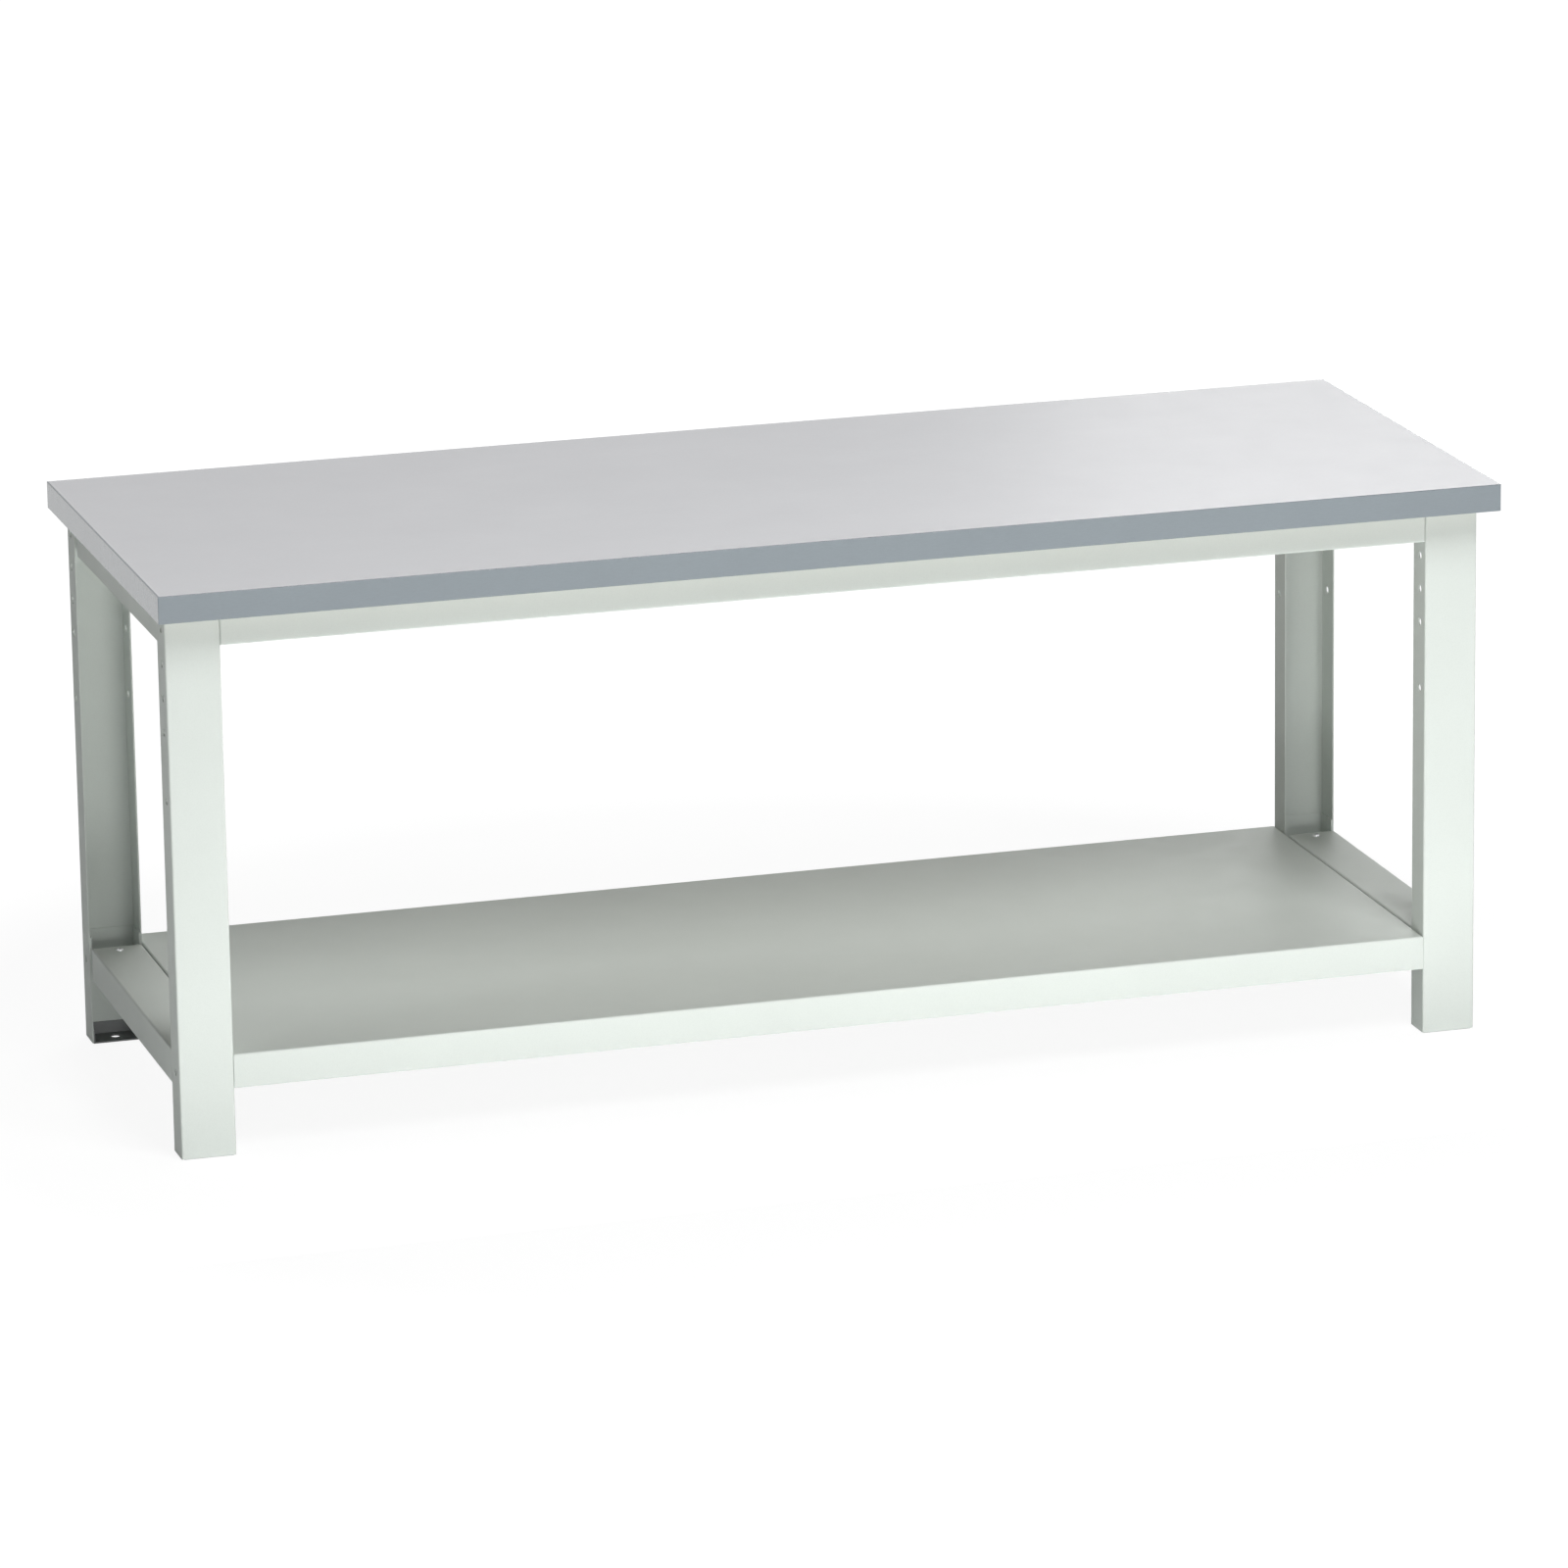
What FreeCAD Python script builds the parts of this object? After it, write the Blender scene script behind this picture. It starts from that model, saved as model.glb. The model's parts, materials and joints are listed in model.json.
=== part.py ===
import os
import re

import FreeCAD
import Part
import Sketcher
from FreeCAD import Placement, Rotation, Vector

# A static workshop bench: a laminated worktop on a bolted frame of folded steel sheet, with a base shelf.
# X runs along the bench, +Y points to its back, Z is up. The origin is on the floor, under the middle.

document = FreeCAD.newDocument("workbench")
sizes = document.addObject("Spreadsheet::Sheet", "sizes")

# Driving dimensions, in millimetres unless the name ends in share.
driving = [
    ("bench_height", 840, "floor to the upper face of the worktop"),
    ("top_length", 2000, "worktop, end to end"),
    ("top_depth", 750, "worktop, front to back"),
    ("top_thickness", 40, "worktop with its laminate and backer"),
    ("laminate_thickness", 1, "wear layer on the worktop"),
    ("backer_thickness", 1, "balancing sheet under the worktop"),
    ("edging_thickness", 2, "plastic edging round the worktop"),
    ("edging_round_share", 0.5, "rounding of the edging, of its thickness"),
    ("end_overhang", 18, "worktop past the legs at each end"),
    ("side_overhang", 50, "worktop past the legs, front and back"),
    ("sheet_thickness", 2, "folded steel sheet"),
    ("bend_inside", 1, "inner radius of every fold"),
    ("leg_width", 80, "web of a leg"),
    ("leg_depth", 48, "flanges of a leg"),
    ("hole_inset", 22, "bolt holes behind the web's outer face"),
    ("hole_drop", 25, "first bolt hole under a rail's upper face"),
    ("hole_pitch", 50, "one step of the flange holes"),
    ("leg_lift", 1, "lower edge of a leg above the floor, round its foot plate"),
    ("foot_thickness", 2, "foot plate and its upturned rim"),
    ("foot_rim", 20, "height of the foot plate's rim"),
    ("floor_hole_diameter", 14, "floor fixing hole in a foot plate"),
    ("rail_height", 50, "all rails, upper to lower edge"),
    ("rail_depth", 40, "flanges of the long top rails"),
    ("end_rail_gap", 10, "end rail to the edge of a leg's flange"),
    ("end_screw_inset", 20, "screw behind the end of an end rail"),
    ("shelf_height", 150, "floor to the upper face of the shelf"),
    ("shelf_lip", 50, "folded rim of the shelf"),
    ("stiffener_width", 60, "channel under the shelf"),
    ("stiffener_depth", 30, "channel under the shelf"),
    ("stiffener_end_gap", 1, "stiffener to the fold of the shelf's end rim"),
    ("stiffener_place_share", 0.2, "stiffener from the middle, of the shelf's depth"),
    ("bracket_drop", 15, "bracket below its end rail"),
    ("bracket_rise", 15, "bracket above a lower end rail"),
    ("tongue_length", 45, "tongue inside an end rail"),
    ("tongue_height", 40, "cheeks of a tongue"),
    ("bolt_diameter", 10, "frame bolts"),
    ("bolt_clearance", 1, "bolt holes over the bolt diameter"),
    ("bolt_head_width", 16, "bolt heads and nuts, across flats"),
    ("bolt_head_height", 6.4, "bolt heads"),
    ("bolt_tail", 3, "bolt past its nut"),
    ("nut_height", 8.4, "nuts of the frame bolts"),
    ("cut_overrun", 1, "cuts past the faces they open"),
    ("thread_clearance", 0.4, "nut bore over bolt diameter"),
    ("washer_diameter", 20, "washers of the frame bolts"),
    ("washer_thickness", 2, "washers of the frame bolts"),
    ("washer_clearance", 4, "washer to the cheek of a tongue"),
    ("rail_screw_diameter", 6, "button-head screws of the end rails"),
    ("rail_screw_length", 12, "button-head screws of the end rails"),
    ("rail_screw_head", 11, "diameter of a button head"),
    ("rail_screw_head_height", 3.3, "height of a button head"),
    ("rail_screw_socket", 4, "hexagon socket, across flats"),
    ("rail_screw_socket_depth", 2, "hexagon socket"),
    ("button_round_share", 0.7, "rounding of a button head, of its height"),
    ("screw_clearance", 0.6, "screw holes over the screw diameter"),
    ("wood_screw_diameter", 5, "worktop screws"),
    ("wood_screw_length", 22, "straight part of a worktop screw"),
    ("wood_screw_point", 5, "point of a worktop screw"),
    ("wood_screw_head", 10, "diameter of a worktop screw's head"),
    ("wood_screw_head_height", 3, "height of a worktop screw's head"),
]
for row, (alias, value, note) in enumerate(driving, start=1):
    sizes.set(f"A{row}", note)
    sizes.set(f"B{row}", str(value))
    sizes.setAlias(f"B{row}", alias)
document.recompute()

# Flange holes, in steps below the bolt hole of the top rail.
hole_steps = (1, 2, 3, 5)
# Worktop screws along a long rail, as shares of the rail's length from its middle.
rail_screw_shares = (-0.36, 0, 0.36)
hexagon_side_count = 6
same_place = 1e-4

# Places and sizes that follow from the driving dimensions.
leg_height = "(bench_height - top_thickness)"
leg_length = f"({leg_height} - leg_lift)"
leg_middle = f"({leg_length} / 2 + leg_lift)"
leg_outer = "(top_length / 2 - end_overhang)"
leg_inner = f"({leg_outer} - leg_width)"
leg_centre = f"({leg_outer} - leg_width / 2)"
frame_face = "(top_depth / 2 - side_overhang)"
hole_diameter = "(bolt_diameter + bolt_clearance)"
leg_hollow = "(leg_width - 2 * sheet_thickness)"
nest_depth = "(leg_depth - sheet_thickness)"
hole_line = f"({frame_face} - hole_inset)"
shelf_hole = "(shelf_height - hole_drop)"
rail_hole = f"({leg_height} - hole_drop)"
end_rail_length = f"(2 * ({frame_face} - leg_depth - end_rail_gap))"
end_screw_line = f"({end_rail_length} / 2 - end_screw_inset)"
long_rail_length = f"(2 * {leg_inner})"
rail_screw_line = f"({frame_face} - rail_depth / 2)"
rail_screw_hole = "(rail_screw_diameter + screw_clearance)"
wood_screw_hole = "(wood_screw_diameter + screw_clearance)"
core_length = "(top_length - 2 * edging_thickness)"
core_depth = "(top_depth - 2 * edging_thickness)"
core_height = "(top_thickness - laminate_thickness - backer_thickness)"
tongue_lap = "(leg_depth - hole_inset - washer_diameter / 2 - washer_clearance)"
tongue_span = f"({tongue_lap} + end_rail_gap + tongue_length)"
bolt_corner = "bolt_head_width / sqrt(3)"
bolt_grip = "(3 * sheet_thickness + 2 * washer_thickness)"

ends = (("left", -1), ("right", 1))
sides = (("front", -1), ("rear", 1))


def cell(formula):
    # The aliases of a formula, read from the sheet; a word before a bracket is a function.
    return re.sub(r"\b[a-z_]+\b(?!\()", r"sizes.\g<0>", formula)


def bind(thing, **formulas):
    for name, formula in formulas.items():
        thing.setExpression(name, cell(formula))


def place(thing, x="0", y="0", z="0", turn=Rotation()):
    thing.Placement = Placement(Vector(), turn)
    for axis, formula in zip("xyz", (x, y, z)):
        thing.setExpression(f"Placement.Base.{axis}", cell(formula))
    return thing


def about_z(degrees):
    return Rotation(Vector(0, 0, 1), degrees)


def facing(side):
    # A piece is drawn for the front of the bench, and turned round for its back.
    return about_z(0 if side < 0 else 180)


def along_bench(direction):
    # Turns a fastener, drawn along +Z, to point to the right or the left end.
    return Rotation(Vector(0, 0, 1), Vector(direction, 0, 0))


def lies_on(piece, shape, faces):
    box = shape.BoundBox
    limits = {"-x": (0, box.XMin), "+x": (0, box.XMax), "-y": (1, box.YMin), "+y": (1, box.YMax),
              "-z": (2, box.ZMin), "+z": (2, box.ZMax)}
    return all(abs(piece.CenterOfMass[limits[face][0]] - limits[face][1]) < same_place for face in faces)


def edges_between(shape, pairs):
    return [f"Edge{number}" for number, edge in enumerate(shape.Edges, start=1)
            if any(lies_on(edge, shape, pair) for pair in pairs)]


def faces_towards(shape, directions):
    return [f"Face{number}" for number, face in enumerate(shape.Faces, start=1)
            if any(lies_on(face, shape, (direction,)) for direction in directions)]


def new_body(name):
    body = document.addObject("PartDesign::Body", name)
    body.Label = name
    return body


def sketch_on(body, plane, name):
    sketch = body.newObject("Sketcher::SketchObject", name)
    origin_plane = next(feature for feature in body.Origin.OriginFeatures if feature.Role == plane)
    sketch.AttachmentSupport = [(origin_plane, "")]
    sketch.MapMode = "FlatFace"
    return sketch


def constrain(sketch, kind, points, formula):
    index = sketch.addConstraint(Sketcher.Constraint(kind, *points, 1))
    sketch.setExpression(f"Constraints[{index}]", cell(formula))


def blank(name, plane, across, along, depth, upward=False):
    # A block whose outline is centred on the plane, standing up from it, down from it or behind it.
    body = new_body(name)
    outline = sketch_on(body, plane, f"{name}_outline")
    corners = [(-1, -1), (1, -1), (1, 1), (-1, 1)]
    for start, end in zip(corners, corners[1:] + corners[:1]):
        outline.addGeometry(Part.LineSegment(Vector(*start, 0), Vector(*end, 0)))
    for line, direction in enumerate(("Horizontal", "Vertical") * 2):
        outline.addConstraint(Sketcher.Constraint("Coincident", line, 2, (line + 1) % 4, 1))
        outline.addConstraint(Sketcher.Constraint(direction, line))
    outline.addConstraint(Sketcher.Constraint("Symmetric", 0, 1, 2, 1, -1, 1))
    constrain(outline, "DistanceX", (0, 1, 0, 2), across)
    constrain(outline, "DistanceY", (1, 1, 1, 2), along)
    pad = body.newObject("PartDesign::Pad", f"{name}_blank")
    pad.Profile = outline
    pad.Reversed = not upward
    bind(pad, Length=depth)
    document.recompute()
    return body


def rounded(body, pairs, radius):
    base = body.Tip
    fillet = body.newObject("PartDesign::Fillet", f"{body.Name}_rounding")
    fillet.Base = (base, edges_between(base.Shape, pairs))
    bind(fillet, Radius=radius)
    document.recompute()
    return body


def folded(name, plane, across, along, depth, bends, open_faces, wall="sheet_thickness", upward=False):
    # Sheet folded along the named edges, and open at the named faces.
    body = blank(name, plane, across, along, depth, upward)
    rounded(body, bends, f"bend_inside + {wall}")
    bent = body.Tip
    sheet = body.newObject("PartDesign::Thickness", f"{name}_sheet")
    sheet.Base = (bent, faces_towards(bent.Shape, open_faces))
    sheet.Reversed = True
    bind(sheet, Value=wall)
    document.recompute()
    return body


def drill(body, name, plane, centres, diameter, depth=None):
    # Round holes right through both ways, or to a depth above the plane.
    before = body.Shape.Volume
    sketch = sketch_on(body, plane, f"{body.Name}_{name}_centres")
    for across, along in centres:
        circle = sketch.addGeometry(Part.Circle(Vector(), Vector(0, 0, 1), 1))
        constrain(sketch, "Diameter", (circle,), diameter)
        constrain(sketch, "DistanceX", (-1, 1, circle, 3), across)
        constrain(sketch, "DistanceY", (-1, 1, circle, 3), along)
    holes = body.newObject("PartDesign::Pocket", f"{body.Name}_{name}")
    holes.Profile = sketch
    if depth:
        holes.Type = "Length"
        holes.Reversed = True
        bind(holes, Length=depth)
    else:
        holes.Type = "ThroughAll"
        holes.SideType = "Symmetric"
    document.recompute()
    if body.Shape.Volume >= before:
        raise RuntimeError(f"{name} of {body.Name} cuts nothing")
    return body


def add(body, kind, name, x="0", y="0", z="0", **formulas):
    feature = body.newObject(f"PartDesign::{kind}", f"{body.Name}_{name}")
    bind(feature, **formulas)
    return place(feature, x, y, z)


def group(name, members):
    compound = document.addObject("Part::Compound", name)
    compound.Label = name
    compound.Links = members
    return compound


channel_bends = (("-y", "-x"), ("-y", "+x"))
cap_bends = (("+z", "-x"), ("+z", "+x"))
front_rim = channel_bends + (("-y", "-z"), ("-y", "+z"))
top_rim = cap_bends + (("+z", "-y"), ("+z", "+y"))
trough_bends = (("-z", "-y"), ("-z", "+y"))


def leg(name):
    body = folded(name, "XZ_Plane", "leg_width", leg_length, "leg_depth", channel_bends, ("+y", "-z", "+z"))
    heights = [shelf_hole, rail_hole] + [f"{rail_hole} - {step} * hole_pitch" for step in hole_steps]
    centres = [("hole_inset", f"{height} - {leg_middle}") for height in heights]
    return drill(body, "flange_holes", "YZ_Plane", centres, hole_diameter)


def foot_plate(name):
    body = folded(name, "XZ_Plane", leg_hollow, "foot_rim", nest_depth, channel_bends, ("+y", "+z"),
                  wall="foot_thickness")
    centre = ("0", "leg_depth / 2 - sheet_thickness")
    return drill(body, "floor_hole", "XY_Plane", [centre], "floor_hole_diameter")


def bracket(name, rise):
    # A channel nested in the leg, behind the end of an end rail.
    height = f"(rail_height + bracket_drop + {rise})"
    body = folded(name, "XZ_Plane", leg_hollow, height, nest_depth, channel_bends, ("+y", "-z", "+z"))
    bolt_centre = ("hole_inset - sheet_thickness", f"{height} / 2 - {rise} - hole_drop")
    return drill(body, "bolt_holes", "YZ_Plane", [bolt_centre], hole_diameter)


def tongue(name, screw_hole):
    # A cap under the end of an end rail; its cheeks run on into the leg and lap the bracket's sides.
    width = f"({leg_hollow} - 2 * sheet_thickness)"
    body = folded(name, "XY_Plane", width, tongue_span, "tongue_height", cap_bends, ("-z", "-y", "+y"))
    fold = "(bend_inside + sheet_thickness)"
    mouth = f"({tongue_lap} + end_rail_gap)"
    mouth_start = f"-{tongue_span} / 2 - cut_overrun"
    add(body, "SubtractiveBox", "mouth", f"-{leg_hollow} / 2", mouth_start, f"-{fold}",
        Length=leg_hollow, Width=f"{mouth} + cut_overrun", Height=f"{fold} + cut_overrun")
    document.recompute()
    screw_centre = ("0", f"end_screw_inset + {mouth} - {tongue_span} / 2")
    return drill(body, "screw_hole", "XY_Plane", [screw_centre], screw_hole)


def end_rail(name, screw_hole):
    # As wide as the brackets, so that a tongue fits both.
    open_faces = ("-z", "-y", "+y")
    body = folded(name, "XY_Plane", leg_hollow, end_rail_length, "rail_height", cap_bends, open_faces)
    centres = [("0", f"{sign} * {end_screw_line}") for _, sign in sides]
    return drill(body, "screw_holes", "XY_Plane", centres, screw_hole)


def long_rail(name):
    body = folded(name, "XZ_Plane", long_rail_length, "rail_height", "rail_depth", front_rim, ("+y",))
    drill(body, "bolt_holes", "YZ_Plane", [("hole_inset", "rail_height / 2 - hole_drop")], hole_diameter)
    centres = [(f"{share} * {long_rail_length}", "rail_depth / 2") for share in rail_screw_shares]
    return drill(body, "screw_holes", "XY_Plane", centres, wood_screw_hole, depth="rail_height")


def base_shelf(name):
    body = folded(name, "XY_Plane", long_rail_length, f"2 * {frame_face}", "shelf_lip", top_rim, ("-z",))
    centres = [(f"{sign} * {hole_line}", "-hole_drop") for _, sign in sides]
    return drill(body, "bolt_holes", "YZ_Plane", centres, hole_diameter)


def stiffener(name):
    length = f"{long_rail_length} - 2 * (sheet_thickness + bend_inside + stiffener_end_gap)"
    return folded(name, "XY_Plane", length, "stiffener_width", "stiffener_depth", trough_bends,
                  ("+z", "-x", "+x"), upward=True)


def edging(name, length, round_ends):
    body = blank(name, "XZ_Plane", length, "top_thickness", "edging_thickness")
    edges = front_rim if round_ends else front_rim[2:]
    return rounded(body, edges, "edging_thickness * edging_round_share")


def screw_places():
    # Where the worktop screws stand, with the face that each head bears on.
    under_rail = f"{leg_height} - sheet_thickness"
    under_tongue = f"{leg_height} - 2 * sheet_thickness"
    for _, side in sides:
        for share in rail_screw_shares:
            yield f"{share} * {long_rail_length}", f"{side} * {rail_screw_line}", under_rail
        for _, end in ends:
            yield f"{end} * {leg_centre}", f"{side} * {end_screw_line}", under_tongue


def hex_bolt(name):
    body = new_body(name)
    head = add(body, "AdditivePrism", "head", z="-bolt_head_height", Circumradius=bolt_corner,
               Height="bolt_head_height")
    head.Polygon = hexagon_side_count
    add(body, "AdditiveCylinder", "shank", Radius="bolt_diameter / 2",
        Height=f"{bolt_grip} + nut_height + bolt_tail")
    return body


def hex_nut(name):
    body = new_body(name)
    block = add(body, "AdditivePrism", "block", Circumradius=bolt_corner, Height="nut_height")
    block.Polygon = hexagon_side_count
    bore = "(bolt_diameter + thread_clearance) / 2"
    add(body, "SubtractiveCylinder", "bore", Radius=bore, Height="nut_height")
    return body


def washer(name):
    body = new_body(name)
    add(body, "AdditiveCylinder", "disc", Radius="washer_diameter / 2", Height="washer_thickness")
    add(body, "SubtractiveCylinder", "bore", Radius=f"{hole_diameter} / 2", Height="washer_thickness")
    return body


def button_screw(name):
    body = new_body(name)
    add(body, "AdditiveCylinder", "head", Radius="rail_screw_head / 2", Height="rail_screw_head_height")
    document.recompute()
    crown = [("+z",)]
    rounded(body, crown, "rail_screw_head_height * button_round_share")
    add(body, "AdditiveCylinder", "shank", z="-rail_screw_length", Radius="rail_screw_diameter / 2",
        Height="rail_screw_length")
    socket = add(body, "SubtractivePrism", "socket", z="rail_screw_head_height - rail_screw_socket_depth",
                 Circumradius="rail_screw_socket / sqrt(3)", Height="rail_screw_socket_depth")
    socket.Polygon = hexagon_side_count
    return body


def wood_screw(name):
    body = new_body(name)
    add(body, "AdditiveCylinder", "head", z="-wood_screw_head_height", Radius="wood_screw_head / 2",
        Height="wood_screw_head_height")
    add(body, "AdditiveCylinder", "shank", Radius="wood_screw_diameter / 2", Height="wood_screw_length")
    add(body, "AdditiveCone", "point", z="wood_screw_length", Radius1="wood_screw_diameter / 2",
        Radius2="0", Height="wood_screw_point")
    return body


# Worktop: core between backer and laminate, edged all round.
worktop_screw_places = list(screw_places())
screw_centres = [(x, y) for x, y, _ in worktop_screw_places]
core = blank("worktop_core", "XY_Plane", core_length, core_depth, core_height, upward=True)
screw_depth = "wood_screw_length + wood_screw_point"
drill(core, "screw_holes", "XY_Plane", screw_centres, wood_screw_hole, depth=screw_depth)
backer = blank("worktop_backer", "XY_Plane", core_length, core_depth, "backer_thickness", upward=True)
drill(backer, "screw_holes", "XY_Plane", screw_centres, wood_screw_hole)
laminate = blank("worktop_laminate", "XY_Plane", core_length, core_depth, "laminate_thickness", upward=True)
parts = [
    place(core, z=f"{leg_height} + backer_thickness"),
    place(backer, z=leg_height),
    place(laminate, z="bench_height - laminate_thickness"),
]
top_middle = "bench_height - top_thickness / 2"
for side_name, side in sides:
    strip = edging(f"edging_{side_name}", "top_length", round_ends=True)
    parts.append(place(strip, y=f"{side} * top_depth / 2", z=top_middle, turn=facing(side)))
for end_name, end in ends:
    strip = edging(f"edging_{end_name}", core_depth, round_ends=False)
    parts.append(place(strip, x=f"{end} * top_length / 2", z=top_middle, turn=about_z(90 * end)))

# Legs at the four corners, each with its foot plate and the brackets of its two end rails.
low_bracket = "shelf_height - rail_height / 2 + (bracket_rise - bracket_drop) / 2"
top_bracket = f"{leg_height} - (rail_height + bracket_drop) / 2"
for end_name, end in ends:
    for side_name, side in sides:
        corner = f"{side_name}_{end_name}"
        x = f"{end} * {leg_centre}"
        nest = f"{side} * ({frame_face} - sheet_thickness)"
        turn = facing(side)
        parts.append(place(leg(f"leg_{corner}"), x, f"{side} * {frame_face}", leg_middle, turn))
        parts.append(place(foot_plate(f"foot_plate_{corner}"), x, nest, "foot_rim / 2", turn))
        parts.append(place(bracket(f"lower_bracket_{corner}", "bracket_rise"), x, nest, low_bracket, turn))
        parts.append(place(bracket(f"top_bracket_{corner}", "0"), x, nest, top_bracket, turn))

# End rails, each on a tongue at its front and its back.
tongue_middle = f"({frame_face} - leg_depth + {tongue_lap} - {tongue_span} / 2)"
levels = (("lower", "shelf_height", rail_screw_hole), ("top", leg_height, wood_screw_hole))
for end_name, end in ends:
    x = f"{end} * {leg_centre}"
    for level, height, screw_hole in levels:
        parts.append(place(end_rail(f"{level}_end_rail_{end_name}", screw_hole), x, z=height))
        for side_name, side in sides:
            cap = tongue(f"{level}_tongue_{side_name}_{end_name}", screw_hole)
            under = f"{height} - sheet_thickness"
            parts.append(place(cap, x, f"{side} * {tongue_middle}", under, facing(side)))

# Long rails under the worktop, and the shelf on its stiffeners.
for side_name, side in sides:
    rail = long_rail(f"top_rail_{side_name}")
    middle = f"{leg_height} - rail_height / 2"
    parts.append(place(rail, y=f"{side} * {frame_face}", z=middle, turn=facing(side)))
parts.append(place(base_shelf("base_shelf"), z="shelf_height"))
for side_name, side in sides:
    bar = stiffener(f"shelf_stiffener_{side_name}")
    y = f"{side} * 2 * {frame_face} * stiffener_place_share"
    parts.append(place(bar, y=y, z="shelf_height - sheet_thickness - stiffener_depth"))

# Bolts through bracket, leg flange and the end of a rail or the shelf: head in the leg, nut in the rail.
bolts = []
nuts = []
washers = []
for end_name, end in ends:
    for side_name, side in sides:
        for level, height in (("shelf", shelf_hole), ("rail", rail_hole)):
            tag = f"{level}_{side_name}_{end_name}"
            y = f"{side} * {hole_line}"
            inward = along_bench(-end)
            head_face = f"{end} * ({leg_inner} + 2 * sheet_thickness + washer_thickness)"
            wall_face = f"{end} * ({leg_inner} - sheet_thickness)"
            nut_face = f"{end} * ({leg_inner} - sheet_thickness - washer_thickness)"
            bolts.append(place(hex_bolt(f"bolt_{tag}"), head_face, y, height, inward))
            washers.append(place(washer(f"head_washer_{tag}"), head_face, y, height, inward))
            washers.append(place(washer(f"nut_washer_{tag}"), wall_face, y, height, inward))
            nuts.append(place(hex_nut(f"nut_{tag}"), nut_face, y, height, inward))
parts.append(group("frame_bolts", bolts))
parts.append(group("frame_nuts", nuts))
parts.append(group("frame_washers", washers))

# Button-head screws hold the lower end rails to their tongues.
rail_screws = []
for end_name, end in ends:
    for side_name, side in sides:
        screw = button_screw(f"rail_screw_{side_name}_{end_name}")
        y = f"{side} * {end_screw_line}"
        rail_screws.append(place(screw, f"{end} * {leg_centre}", y, "shelf_height"))
parts.append(group("end_rail_screws", rail_screws))

# Screws hold the worktop down from below, through the top rails.
worktop_screws = []
for number, (x, y, z) in enumerate(worktop_screw_places):
    worktop_screws.append(place(wood_screw(f"worktop_screw_{number}"), x, y, z))
parts.append(group("worktop_screws", worktop_screws))

document.recompute()
for thing in document.Objects:
    if "Invalid" in thing.State or "Error" in thing.State:
        raise RuntimeError(f"{thing.Label} failed: {thing.State}")
for part in parts:
    if part.Shape.isNull() or not part.Shape.isValid():
        raise RuntimeError(f"{part.Label} has no valid shape")

os.makedirs("parts", exist_ok=True)
for part in parts:
    part.Shape.exportStep(f"parts/{part.Label}.step")
print(len(parts), "nodes written")
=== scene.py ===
import json
import math

import bpy
from mathutils import Matrix, Vector


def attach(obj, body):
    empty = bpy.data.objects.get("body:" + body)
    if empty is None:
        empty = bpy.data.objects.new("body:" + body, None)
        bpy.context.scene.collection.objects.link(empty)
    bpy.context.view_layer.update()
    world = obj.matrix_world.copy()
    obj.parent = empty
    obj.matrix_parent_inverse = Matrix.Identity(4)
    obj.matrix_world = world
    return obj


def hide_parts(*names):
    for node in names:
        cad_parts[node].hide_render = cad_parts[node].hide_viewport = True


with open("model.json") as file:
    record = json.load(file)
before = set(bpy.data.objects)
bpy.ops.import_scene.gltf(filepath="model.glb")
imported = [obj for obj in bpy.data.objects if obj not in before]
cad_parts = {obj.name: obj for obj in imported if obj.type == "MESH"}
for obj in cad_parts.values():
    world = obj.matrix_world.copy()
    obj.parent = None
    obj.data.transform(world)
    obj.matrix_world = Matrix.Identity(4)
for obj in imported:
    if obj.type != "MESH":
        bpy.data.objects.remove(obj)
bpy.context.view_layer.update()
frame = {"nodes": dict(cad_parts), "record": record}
nodes = frame["nodes"]
print("frame loaded,", len(nodes), "nodes")


# finishes
noiseSpan = (0.3, 0.7)  # nearly all of a noise pattern's values lie between these
fullColour = (1, 1, 1)


def startFinish(name):
    finish = bpy.data.materials.new(name)
    finish.use_nodes = True
    tree = finish.node_tree
    shader = tree.nodes["Principled BSDF"]
    coords = tree.nodes.new("ShaderNodeTexCoord")
    return finish, tree, shader, coords.outputs["Object"]


def addNoise(tree, coords, scale, detail=2, stretch=(1, 1, 1)):
    mapping = tree.nodes.new("ShaderNodeMapping")
    mapping.inputs["Scale"].default_value = stretch
    tree.links.new(coords, mapping.inputs["Vector"])
    noise = tree.nodes.new("ShaderNodeTexNoise")
    noise.inputs["Scale"].default_value = scale
    noise.inputs["Detail"].default_value = detail
    tree.links.new(mapping.outputs["Vector"], noise.inputs["Vector"])
    return noise.outputs["Fac"]


def addRamp(tree, source, low, high, span=noiseSpan):
    ramp = tree.nodes.new("ShaderNodeValToRGB")
    for element, position, colour in zip(ramp.color_ramp.elements, span, (low, high)):
        element.position = position
        element.color = (*colour, 1)
    tree.links.new(source, ramp.inputs["Fac"])
    return ramp.outputs["Color"]


def addRange(tree, source, low, high):
    spread = tree.nodes.new("ShaderNodeMapRange")
    spread.inputs["From Min"].default_value, spread.inputs["From Max"].default_value = noiseSpan
    spread.inputs["To Min"].default_value = low
    spread.inputs["To Max"].default_value = high
    tree.links.new(source, spread.inputs["Value"])
    return spread.outputs["Result"]


def multiplyColours(tree, first, second):
    mix = tree.nodes.new("ShaderNodeMix")
    mix.data_type = "RGBA"
    mix.blend_type = "MULTIPLY"
    mix.inputs["Factor"].default_value = 1
    tree.links.new(first, mix.inputs["A"])
    tree.links.new(second, mix.inputs["B"])
    return mix.outputs["Result"]


def addBump(tree, shader, source, strength, distance):
    bump = tree.nodes.new("ShaderNodeBump")
    bump.inputs["Strength"].default_value = strength
    bump.inputs["Distance"].default_value = distance
    tree.links.new(source, bump.inputs["Height"])
    tree.links.new(bump.outputs["Normal"], shader.inputs["Normal"])


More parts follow.
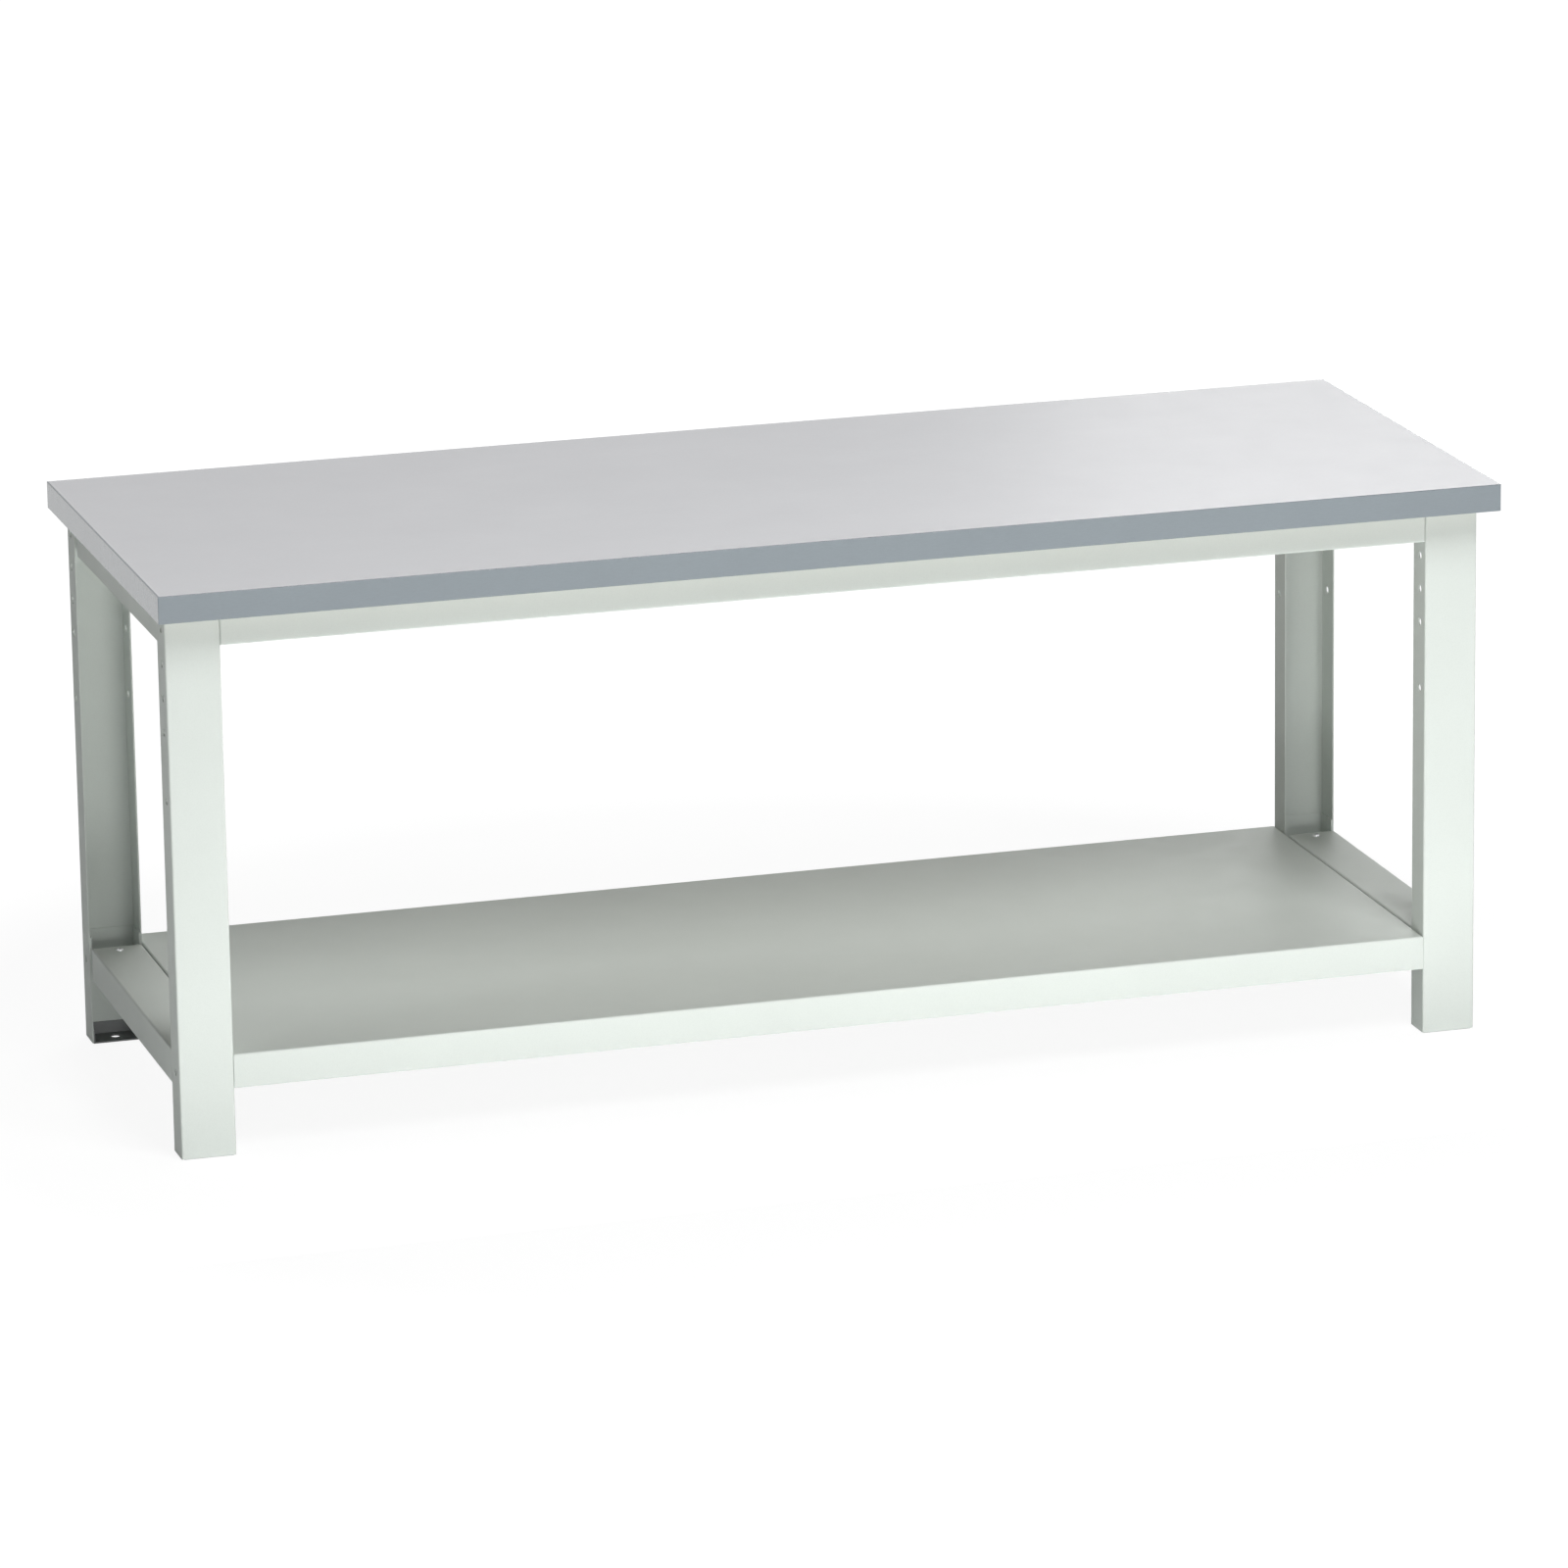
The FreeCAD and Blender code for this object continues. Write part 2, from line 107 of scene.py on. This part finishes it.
def powderCoat(name, look):
    # baked paint: a fine orange peel, and a shade that drifts a little over the sheet
    finish, tree, shader, coords = startFinish(name)
    drift = addRamp(tree, addNoise(tree, coords, look["driftScale"], detail=3), look["dark"], look["light"])
    speck = addRamp(tree, addNoise(tree, coords, look["speckScale"], detail=1), look["speckDark"], fullColour,
                    look["speckSpan"])
    tree.links.new(multiplyColours(tree, drift, speck), shader.inputs["Base Color"])
    sheen = addRange(tree, addNoise(tree, coords, look["sheenScale"]), *look["roughness"])
    tree.links.new(sheen, shader.inputs["Roughness"])
    shader.inputs["Specular IOR Level"].default_value = look["gloss"]
    addBump(tree, shader, addNoise(tree, coords, look["peelScale"]), look["peel"], look["peelDepth"])
    return finish


def meltedLaminate(name, look):
    # decor paper under resin: soft clouds, short fibres and a lacquer over a slightly uneven skin
    finish, tree, shader, coords = startFinish(name)
    cloud = addRamp(tree, addNoise(tree, coords, look["cloudScale"], detail=4), look["dark"], look["light"])
    fibreNoise = addNoise(tree, coords, look["fibreScale"], detail=3, stretch=look["fibreStretch"])
    fibre = addRamp(tree, fibreNoise, look["fibreDark"], fullColour, look["fibreSpan"])
    tree.links.new(multiplyColours(tree, cloud, fibre), shader.inputs["Base Color"])
    sheen = addRange(tree, addNoise(tree, coords, look["sheenScale"]), *look["roughness"])
    tree.links.new(sheen, shader.inputs["Roughness"])
    shader.inputs["Coat Weight"].default_value = look["lacquer"]
    shader.inputs["Coat Roughness"].default_value = look["lacquerRoughness"]
    addBump(tree, shader, addNoise(tree, coords, look["skinScale"]), look["skin"], look["skinDepth"])
    return finish


def pressedBoard(name, look):
    # flakes of wood in glue
    finish, tree, shader, coords = startFinish(name)
    flakes = tree.nodes.new("ShaderNodeTexVoronoi")
    flakes.inputs["Scale"].default_value = look["flakeScale"]
    tree.links.new(coords, flakes.inputs["Vector"])
    flakeShade = addRamp(tree, flakes.outputs["Distance"], look["light"], look["dark"], look["flakeSpan"])
    cloud = addRamp(tree, addNoise(tree, coords, look["cloudScale"], detail=4), look["cloudDark"], fullColour)
    tree.links.new(multiplyColours(tree, flakeShade, cloud), shader.inputs["Base Color"])
    tree.links.new(addRange(tree, flakes.outputs["Distance"], *look["roughness"]), shader.inputs["Roughness"])
    addBump(tree, shader, flakes.outputs["Distance"], look["flake"], look["flakeDepth"])
    return finish


def zincPlate(name, look):
    # bright plating, clouded, with a roughness that follows fine brush marks
    finish, tree, shader, coords = startFinish(name)
    shader.inputs["Metallic"].default_value = 1
    cloud = addRamp(tree, addNoise(tree, coords, look["cloudScale"], detail=3), look["dark"], look["light"])
    tree.links.new(cloud, shader.inputs["Base Color"])
    brush = addRange(tree, addNoise(tree, coords, look["brushScale"], detail=3), *look["roughness"])
    tree.links.new(brush, shader.inputs["Roughness"])
    return finish


framePaint = powderCoat("lightGreyPowderCoat", {
    "dark": (0.600, 0.640, 0.606), "light": (0.625, 0.667, 0.631), "driftScale": 3.5,
    "speckDark": (0.972, 0.972, 0.972), "speckScale": 900, "speckSpan": (0.36, 0.52),
    "roughness": (0.54, 0.62), "sheenScale": 30, "gloss": 0.25,
    "peelScale": 620, "peel": 0.10, "peelDepth": 0.0004,
})
# dark grey for the foot trays: partly their own darker coat, partly painted shade deep inside the leg feet
footCoatAndShade = powderCoat("darkGreyCoatAndShade", {
    "dark": (0.165, 0.172, 0.172), "light": (0.19, 0.198, 0.198), "driftScale": 9,
    "speckDark": (0.94, 0.94, 0.94), "speckScale": 900, "speckSpan": (0.36, 0.52),
    "roughness": (0.38, 0.48), "sheenScale": 40, "gloss": 0.4,
    "peelScale": 620, "peel": 0.14, "peelDepth": 0.0004,
})
topLaminate = meltedLaminate("paleGreyLaminate", {
    "dark": (0.671, 0.676, 0.699), "light": (0.697, 0.702, 0.725), "cloudScale": 6,
    "fibreDark": (0.975, 0.975, 0.975), "fibreScale": 260, "fibreStretch": (1, 2.5, 1), "fibreSpan": (0.34, 0.6),
    "roughness": (0.31, 0.35), "sheenScale": 18, "lacquer": 0, "lacquerRoughness": 0.1,
    "skinScale": 520, "skin": 0.06, "skinDepth": 0.0003,
})
edgeStrip = meltedLaminate("blueGreyEdging", {
    "dark": (0.163, 0.196, 0.217), "light": (0.171, 0.206, 0.227), "cloudScale": 9,
    "fibreDark": (0.965, 0.965, 0.965), "fibreScale": 300, "fibreStretch": (0.6, 0.6, 3), "fibreSpan": (0.34, 0.6),
    "roughness": (0.24, 0.27), "sheenScale": 60, "lacquer": 0.4, "lacquerRoughness": 0.12,
    "skinScale": 700, "skin": 0.01, "skinDepth": 0.0003,
})
backSheet = meltedLaminate("balancingSheet", {
    "dark": (0.40, 0.36, 0.30), "light": (0.45, 0.41, 0.35), "cloudScale": 5,
    "fibreDark": (0.92, 0.92, 0.92), "fibreScale": 160, "fibreStretch": (0.3, 2, 1), "fibreSpan": (0.34, 0.6),
    "roughness": (0.55, 0.65), "sheenScale": 20, "lacquer": 0, "lacquerRoughness": 0.3,
    "skinScale": 500, "skin": 0.08, "skinDepth": 0.0003,
})
boardCore = pressedBoard("chipboard", {
    "dark": (0.40, 0.28, 0.16), "light": (0.66, 0.50, 0.31), "flakeScale": 420, "flakeSpan": (0.1, 0.7),
    "cloudDark": (0.85, 0.83, 0.80), "cloudScale": 30, "roughness": (0.75, 0.9),
    "flake": 0.3, "flakeDepth": 0.0006,
})
brightZinc = zincPlate("brightZinc", {
    "dark": (0.60, 0.61, 0.62), "light": (0.70, 0.71, 0.71), "cloudScale": 260,
    "roughness": (0.24, 0.38), "brushScale": 600,
})
finishOfSlot = {
    "frame_paint": framePaint, "foot_paint": footCoatAndShade, "laminate": topLaminate, "edging": edgeStrip,
    "backer": backSheet, "core": boardCore, "fastener": brightZinc,
}


def dress(piece, finish):
    piece.data.materials.clear()
    piece.data.materials.append(finish)


for subpart in frame["record"]["subparts"]:
    dress(nodes[subpart["node"]], finishOfSlot[subpart["material_slot"]])
print("finishes on", len(finishOfSlot), "slots")


# fasteners, each modelled along +Z with its bearing face at zero; their sizes are in millimetres
mm = 0.001
overrun = 1  # cutting tools run past the faces they open
making = {
    "crestSpan": (0.45, 0.55),  # where a thread's flat crest lies, as shares of the pitch
    "mergeReach": 1e-6,         # metres within which corners of a node's triangles are one
    "bevelSteps": 2, "bevelAngle": math.radians(40), "smoothAngle": math.radians(32),
}


def pickOnly(piece):
    bpy.ops.object.select_all(action="DESELECT")
    piece.select_set(True)
    bpy.context.view_layer.objects.active = piece


def startBar(sides, radius, height):
    bpy.ops.object.select_all(action="DESELECT")
    bpy.ops.mesh.primitive_circle_add(vertices=sides, radius=radius, fill_type="NGON", location=(0, 0, 0))
    bar = bpy.context.active_object
    bar.data.transform(Matrix.Translation((0, 0, height)))
    return bar


def turnBar(sides, rings):
    # a bar grown ring by ring: each ring is a height and a radius
    height, radius = rings[0]
    bar = startBar(sides, radius * mm, height * mm)
    bpy.ops.object.mode_set(mode="EDIT")
    bpy.ops.mesh.select_all(action="SELECT")
    for nextHeight, nextRadius in rings[1:]:
        rise = (0, 0, (nextHeight - height) * mm)
        bpy.ops.mesh.extrude_region_move(TRANSFORM_OT_translate={"value": rise})
        growth = nextRadius / radius
        bpy.ops.transform.resize(value=(growth, growth, 1), center_override=(0, 0, nextHeight * mm))
        height, radius = nextHeight, nextRadius
    bpy.ops.mesh.select_all(action="SELECT")
    bpy.ops.mesh.normals_make_consistent(inside=False)
    bpy.ops.object.mode_set(mode="OBJECT")
    return bar


def hexCorner(acrossFlats):
    return acrossFlats / math.sqrt(3)


def turnHexagon(acrossFlats, bottom, top):
    corner = hexCorner(acrossFlats)
    bar = turnBar(6, [(bottom, corner), (top, corner)])
    bar.data.transform(Matrix.Rotation(math.pi / 6, 4, "Z"))  # a corner points along X, as in the frame
    return bar


def shape(piece, tool, operation):
    change = piece.modifiers.new("shaping", "BOOLEAN")
    change.operation = operation
    change.solver = "EXACT"
    change.object = tool
    pickOnly(piece)
    bpy.ops.object.modifier_apply(modifier=change.name)
    bpy.data.objects.remove(tool)
    return piece


def soften(piece, width):
    edge = piece.modifiers.new("edge", "BEVEL")
    edge.width = width * mm
    edge.segments = making["bevelSteps"]
    edge.limit_method = "ANGLE"
    edge.angle_limit = making["bevelAngle"]
    pickOnly(piece)
    bpy.ops.object.modifier_apply(modifier=edge.name)
    return piece


def threadRings(start, end, pitch, crest, root):
    # roots and flat crests by turns
    crestStart, crestEnd = making["crestSpan"]
    rings = [(start, root)]
    for turn in range(int((end - start) / pitch)):
        low = start + turn * pitch
        rings += [(low + crestStart * pitch, crest), (low + crestEnd * pitch, crest), (low + pitch, root)]
    return rings


def domeRings(sizes):
    # brim, then a quarter ellipse in to the flat crown; heights count away from the bearing face
    brim, height = sizes["brim"], sizes["headHeight"]
    outer, crown = sizes["head"] / 2, sizes["crownRadius"]
    rings = [(0, outer), (brim, outer)]
    for step in range(1, sizes["domeSteps"] + 1):
        angle = math.pi / 2 * step / sizes["domeSteps"]
        rings.append((brim + (height - brim) * math.sin(angle), crown + (outer - crown) * math.cos(angle)))
    return rings


def solidBoxes(nodeName):
    # corners of each separate solid in a node, from a merged copy that is thrown away
    copy = nodes[nodeName].copy()
    copy.data = nodes[nodeName].data.copy()
    copy.parent = None
    bpy.context.scene.collection.objects.link(copy)
    pickOnly(copy)
    bpy.ops.object.mode_set(mode="EDIT")
    bpy.ops.mesh.select_all(action="SELECT")
    bpy.ops.mesh.remove_doubles(threshold=making["mergeReach"])
    bpy.ops.mesh.separate(type="LOOSE")
    bpy.ops.object.mode_set(mode="OBJECT")
    boxes = []
    for solid in list(bpy.context.selected_objects):
        corners = [tuple(corner) for corner in solid.bound_box]
        boxes.append((tuple(map(min, zip(*corners))), tuple(map(max, zip(*corners)))))
        bpy.data.objects.remove(solid)
    return sorted(boxes)


def seatsAlongBench(nodeName, proud):
    # places on the end flanges; each fastener points to the middle of the bench
    seats = []
    for low, high in solidBoxes(nodeName):
        onLeft = low[0] < 0
        face = low[0] + proud * mm if onLeft else high[0] - proud * mm
        place = (face, (low[1] + high[1]) / 2, (low[2] + high[2]) / 2)
        seats.append((place, (0, math.radians(90 if onLeft else -90), 0)))
    return seats


def seatsUpright(nodeName, proud, headUp):
    seats = []
    for low, high in solidBoxes(nodeName):
        face = high[2] - proud * mm if headUp else low[2] + proud * mm
        seats.append((((low[0] + high[0]) / 2, (low[1] + high[1]) / 2, face), (0, 0, 0)))
    return seats


def fitFasteners(name, model, seats, nodeName):
    copies = []
    for place, turn in seats:
        copy = model.copy()
        copy.data = model.data.copy()
        bpy.context.scene.collection.objects.link(copy)
        copy.location = place
        copy.rotation_euler = turn
        copies.append(copy)
    bpy.data.objects.remove(model)
    bpy.ops.object.select_all(action="DESELECT")
    for copy in copies:
        copy.select_set(True)
    bpy.context.view_layer.objects.active = copies[0]
    bpy.ops.object.transform_apply(location=True, rotation=True, scale=True)
    bpy.ops.object.join()
    bpy.ops.object.shade_smooth_by_angle(angle=making["smoothAngle"])
    piece = bpy.context.active_object
    piece.name = name
    dress(piece, brightZinc)
    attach(piece, "root")
    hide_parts(nodeName)
    print(name, "fitted,", len(copies), "copies,", len(piece.data.polygons), "faces")


boltSizes = {"acrossFlats": 16, "headHeight": 6.4, "chamfer": 0.9, "crownRadius": 7.5, "diameter": 10, "root": 4.2,
             "length": 21.4, "pitch": 1.5, "plainLength": 3.4, "runOut": 0.4, "roundSides": 40}


def hexBolt(sizes):
    corner, headTop = hexCorner(sizes["acrossFlats"]), -sizes["headHeight"]
    head = turnHexagon(sizes["acrossFlats"], headTop, 0)
    outline = [(headTop, sizes["crownRadius"]), (headTop + sizes["chamfer"], corner), (overrun, corner)]
    shape(head, turnBar(sizes["roundSides"], outline), "INTERSECT")
    radius, plain = sizes["diameter"] / 2, sizes["plainLength"]
    rings = [(-overrun, radius), (plain, radius)]
    rings += threadRings(plain + sizes["runOut"], sizes["length"], sizes["pitch"], radius, sizes["root"])
    rings.append((sizes["length"], sizes["root"]))
    return shape(head, turnBar(sizes["roundSides"], rings), "UNION")


nutSizes = {"acrossFlats": 16, "height": 8.4, "chamfer": 0.9, "crownRadius": 7.5, "bore": 10.4, "lead": 0.6,
            "roundSides": 40}


def hexNut(sizes):
    corner, crown = hexCorner(sizes["acrossFlats"]), sizes["crownRadius"]
    top, chamfer = sizes["height"], sizes["chamfer"]
    body = turnHexagon(sizes["acrossFlats"], 0, top)
    outline = [(0, crown), (chamfer, corner), (top - chamfer, corner), (top, crown)]
    shape(body, turnBar(sizes["roundSides"], outline), "INTERSECT")
    bore, lead = sizes["bore"] / 2, sizes["lead"]
    mouth = bore + lead + overrun  # the lead runs on at 45 degrees past both faces
    rings = [(-overrun, mouth), (lead, bore), (top - lead, bore), (top + overrun, mouth)]
    return shape(body, turnBar(sizes["roundSides"], rings), "DIFFERENCE")


washerSizes = {"outside": 20, "bore": 11, "thickness": 2, "edge": 0.25, "roundSides": 56}


def flatWasher(sizes):
    outer, bore, thickness = sizes["outside"] / 2, sizes["bore"] / 2, sizes["thickness"]
    disc = turnBar(sizes["roundSides"], [(0, outer), (thickness, outer)])
    drill = turnBar(sizes["roundSides"], [(-overrun, bore), (thickness + overrun, bore)])
    return soften(shape(disc, drill, "DIFFERENCE"), sizes["edge"])


buttonSizes = {"head": 11, "headHeight": 3.3, "brim": 0.7, "crownRadius": 2.9, "domeSteps": 7, "diameter": 6,
               "root": 2.45, "length": 12, "pitch": 1.0, "neck": 1, "plainLength": 0.5, "runOut": 0.3,
               "socket": 4, "socketDepth": 2, "roundSides": 48}


def buttonScrew(sizes):
    radius, end = sizes["diameter"] / 2, -sizes["length"]
    rings = [(end, sizes["root"])]
    rings += threadRings(end + sizes["runOut"], -sizes["neck"], sizes["pitch"], radius, sizes["root"])
    rings += [(-sizes["plainLength"], radius), (0, radius)]
    screw = turnBar(sizes["roundSides"], rings + domeRings(sizes))
    top = sizes["headHeight"]
    return shape(screw, turnHexagon(sizes["socket"], top - sizes["socketDepth"], top + overrun), "DIFFERENCE")


woodSizes = {"head": 10, "headHeight": 3, "brim": 0.8, "crownRadius": 2.2, "domeSteps": 6, "diameter": 5,
             "root": 1.75, "length": 22, "pitch": 2.2, "plainLength": 1.2, "runOut": 0.4, "point": 5, "tip": 0.1,
             "slotWidth": 1.1, "slotLength": 5.2, "slotDepth": 1.7, "slotTaper": 0.55, "roundSides": 36}


def crossArm(sizes, turn):
    # one arm of the cross recess, narrower at its floor
    depth = sizes["slotDepth"] + overrun
    middle = -sizes["headHeight"] + sizes["slotDepth"] - depth / 2
    bpy.ops.object.select_all(action="DESELECT")
    bpy.ops.mesh.primitive_cube_add(size=1, location=(0, 0, 0))
    arm = bpy.context.active_object
    arm.data.transform(Matrix.Diagonal((sizes["slotLength"] * mm, sizes["slotWidth"] * mm, depth * mm, 1)))
    floorHeight = max(face.center.z for face in arm.data.polygons)
    for face in arm.data.polygons:
        face.select = face.center.z == floorHeight
    bpy.ops.object.mode_set(mode="EDIT")
    bpy.ops.mesh.select_mode(type="FACE")
    bpy.ops.transform.resize(value=(sizes["slotTaper"], sizes["slotTaper"], 1))
    bpy.ops.object.mode_set(mode="OBJECT")
    arm.data.transform(Matrix.Translation((0, 0, middle * mm)) @ Matrix.Rotation(math.radians(turn), 4, "Z"))
    return arm


def woodScrew(sizes):
    radius, plain, end = sizes["diameter"] / 2, sizes["plainLength"], sizes["length"]
    rings = [(-height, reach) for height, reach in reversed(domeRings(sizes))]
    rings += [(0, radius), (plain, radius)]
    rings += threadRings(plain + sizes["runOut"], end, sizes["pitch"], radius, sizes["root"])
    rings += [(end, sizes["root"]), (end + sizes["point"], sizes["tip"])]
    screw = turnBar(sizes["roundSides"], rings)
    for turn in (0, 90):
        shape(screw, crossArm(sizes, turn), "DIFFERENCE")
    return screw


boltSeats = seatsAlongBench("frame_bolts", boltSizes["headHeight"])
fitFasteners("frameBolts", hexBolt(boltSizes), boltSeats, "frame_bolts")
fitFasteners("frameNuts", hexNut(nutSizes), seatsAlongBench("frame_nuts", 0), "frame_nuts")
fitFasteners("frameWashers", flatWasher(washerSizes), seatsAlongBench("frame_washers", 0), "frame_washers")
railSeats = seatsUpright("end_rail_screws", buttonSizes["headHeight"], headUp=True)
fitFasteners("endRailScrews", buttonScrew(buttonSizes), railSeats, "end_rail_screws")
topSeats = seatsUpright("worktop_screws", woodSizes["headHeight"], headUp=False)
fitFasteners("worktopScrews", woodScrew(woodSizes), topSeats, "worktop_screws")


# floor and background
studio = {
    "floorSize": 80, "floorColour": (0.86, 0.87, 0.87, 1),
    "floorGlow": 1.085, "glowNear": 0.84, "shadowReach": (1.25, 2.0),  # the shadow fades out over this distance
    "ambient": (0.96, 0.98, 1.0, 1), "ambientStrength": 0.02,
}


def larger(tree, first, second):
    pick = tree.nodes.new("ShaderNodeMath")
    pick.operation = "MAXIMUM"
    tree.links.new(first, pick.inputs[0])
    tree.links.new(second, pick.inputs[1])
    return pick.outputs["Value"]


def seenDirectly(tree):
    # one where the eye, a reflection or a clear thing looks, nothing where light only bounces
    path = tree.nodes.new("ShaderNodeLightPath")
    mirrored = larger(tree, path.outputs["Is Camera Ray"], path.outputs["Is Glossy Ray"])
    return larger(tree, mirrored, path.outputs["Is Transmission Ray"])


def layFloor(studio):
    bpy.ops.object.select_all(action="DESELECT")
    bpy.ops.mesh.primitive_plane_add(size=studio["floorSize"], location=(0, 0, 0))
    floor = bpy.context.active_object
    floor.name = "studioFloor"
    finish = bpy.data.materials.new("paleFloor")
    finish.use_nodes = True
    tree = finish.node_tree
    tree.nodes.remove(tree.nodes["Principled BSDF"])
    matte = tree.nodes.new("ShaderNodeBsdfDiffuse")
    matte.inputs["Color"].default_value = studio["floorColour"]
    glow = tree.nodes.new("ShaderNodeEmission")
    glow.inputs["Strength"].default_value = studio["floorGlow"]
    coords = tree.nodes.new("ShaderNodeTexCoord")
    distance = tree.nodes.new("ShaderNodeVectorMath")
    distance.operation = "LENGTH"
    tree.links.new(coords.outputs["Object"], distance.inputs[0])
    fade = tree.nodes.new("ShaderNodeMapRange")  # some shadow near the bench, plain white further off
    fade.inputs["From Min"].default_value, fade.inputs["From Max"].default_value = studio["shadowReach"]
    fade.inputs["To Min"].default_value = studio["glowNear"]
    tree.links.new(distance.outputs["Value"], fade.inputs["Value"])
    share = tree.nodes.new("ShaderNodeMath")
    share.operation = "MULTIPLY"
    tree.links.new(seenDirectly(tree), share.inputs[0])
    tree.links.new(fade.outputs["Result"], share.inputs[1])
    both = tree.nodes.new("ShaderNodeMixShader")
    tree.links.new(share.outputs["Value"], both.inputs["Fac"])
    tree.links.new(matte.outputs["BSDF"], both.inputs[1])
    tree.links.new(glow.outputs["Emission"], both.inputs[2])
    tree.links.new(both.outputs["Shader"], tree.nodes["Material Output"].inputs["Surface"])
    floor.data.materials.append(finish)


def setWorld(studio):
    world = bpy.data.worlds.new("studioWorld")
    bpy.context.scene.world = world
    world.use_nodes = True
    tree = world.node_tree
    ambient = tree.nodes["Background"]
    ambient.inputs["Color"].default_value = studio["ambient"]
    ambient.inputs["Strength"].default_value = studio["ambientStrength"]
    white = tree.nodes.new("ShaderNodeBackground")
    both = tree.nodes.new("ShaderNodeMixShader")
    tree.links.new(seenDirectly(tree), both.inputs["Fac"])
    tree.links.new(ambient.outputs["Background"], both.inputs[1])
    tree.links.new(white.outputs["Background"], both.inputs[2])
    tree.links.new(both.outputs["Shader"], tree.nodes["World Output"].inputs["Surface"])


# light; the cards stay below the worktop's level, so its face shows no glare
softboxes = [
    {"name": "highBox", "place": (0.6, -3.0, 4.2), "aim": (0.1, 0, 0.6), "size": (2.4, 2), "power": 131},
    {"name": "frontCard", "place": (0.3, -5.5, 0.42), "aim": (0.1, 0, 0.42), "size": (6, 0.76), "power": 70},
    {"name": "footStrip", "place": (0, -0.8, 0.03), "aim": (0, -0.325, 0.15), "size": (2.6, 0.05), "power": 3.3},
    {"name": "floorCard", "place": (0.2, -2.9, 0.02), "aim": (0.2, -2.9, 1), "size": (8, 4.6), "power": 94},
    {"name": "leftBox", "place": (-4.5, -0.5, 3.2), "aim": (-0.5, 0, 0.8), "size": (2, 2), "power": 19},
    {"name": "rearBox", "place": (0.9, 4.0, 5.6), "aim": (0.2, 0, 0.4), "size": (4, 2.5), "power": 116},
    {"name": "rearCard", "place": (3.2, 3.4, 0.42), "aim": (0, 0, 0.42), "size": (3, 0.7), "power": 60},
    {"name": "sheenBox", "place": (3.6, 5.0, 2.6), "aim": (0.8, 0, 0.8), "size": (3, 3), "power": 30},
]


def hangSoftbox(box):
    bpy.ops.object.select_all(action="DESELECT")
    bpy.ops.object.light_add(type="AREA", location=box["place"])
    lamp = bpy.context.active_object
    lamp.name = box["name"]
    lamp.data.shape = "RECTANGLE"
    lamp.data.size, lamp.data.size_y = box["size"]
    lamp.data.energy = box["power"]
    lamp.visible_camera = False
    towards = Vector(box["aim"]) - Vector(box["place"])
    lamp.rotation_euler = towards.to_track_quat("-Z", "Y").to_euler()


# camera
view = {"place": (-3.429, -11.6967, 3.7018), "turn": (74.765, 0.807, -16.628), "lens": 196.13, "sensor": 36,
        "farthest": 200}


def setCamera(view):
    bpy.ops.object.select_all(action="DESELECT")
    turn = [math.radians(angle) for angle in view["turn"]]
    bpy.ops.object.camera_add(location=view["place"], rotation=turn)
    eye = bpy.context.active_object
    eye.name = "benchCamera"
    eye.data.lens = view["lens"]
    eye.data.sensor_width = view["sensor"]
    eye.data.clip_end = view["farthest"]
    bpy.context.scene.camera = eye


layFloor(studio)
setWorld(studio)
for box in softboxes:
    hangSoftbox(box)
setCamera(view)
bpy.context.scene.view_settings.view_transform = "Standard"
print("studio set")
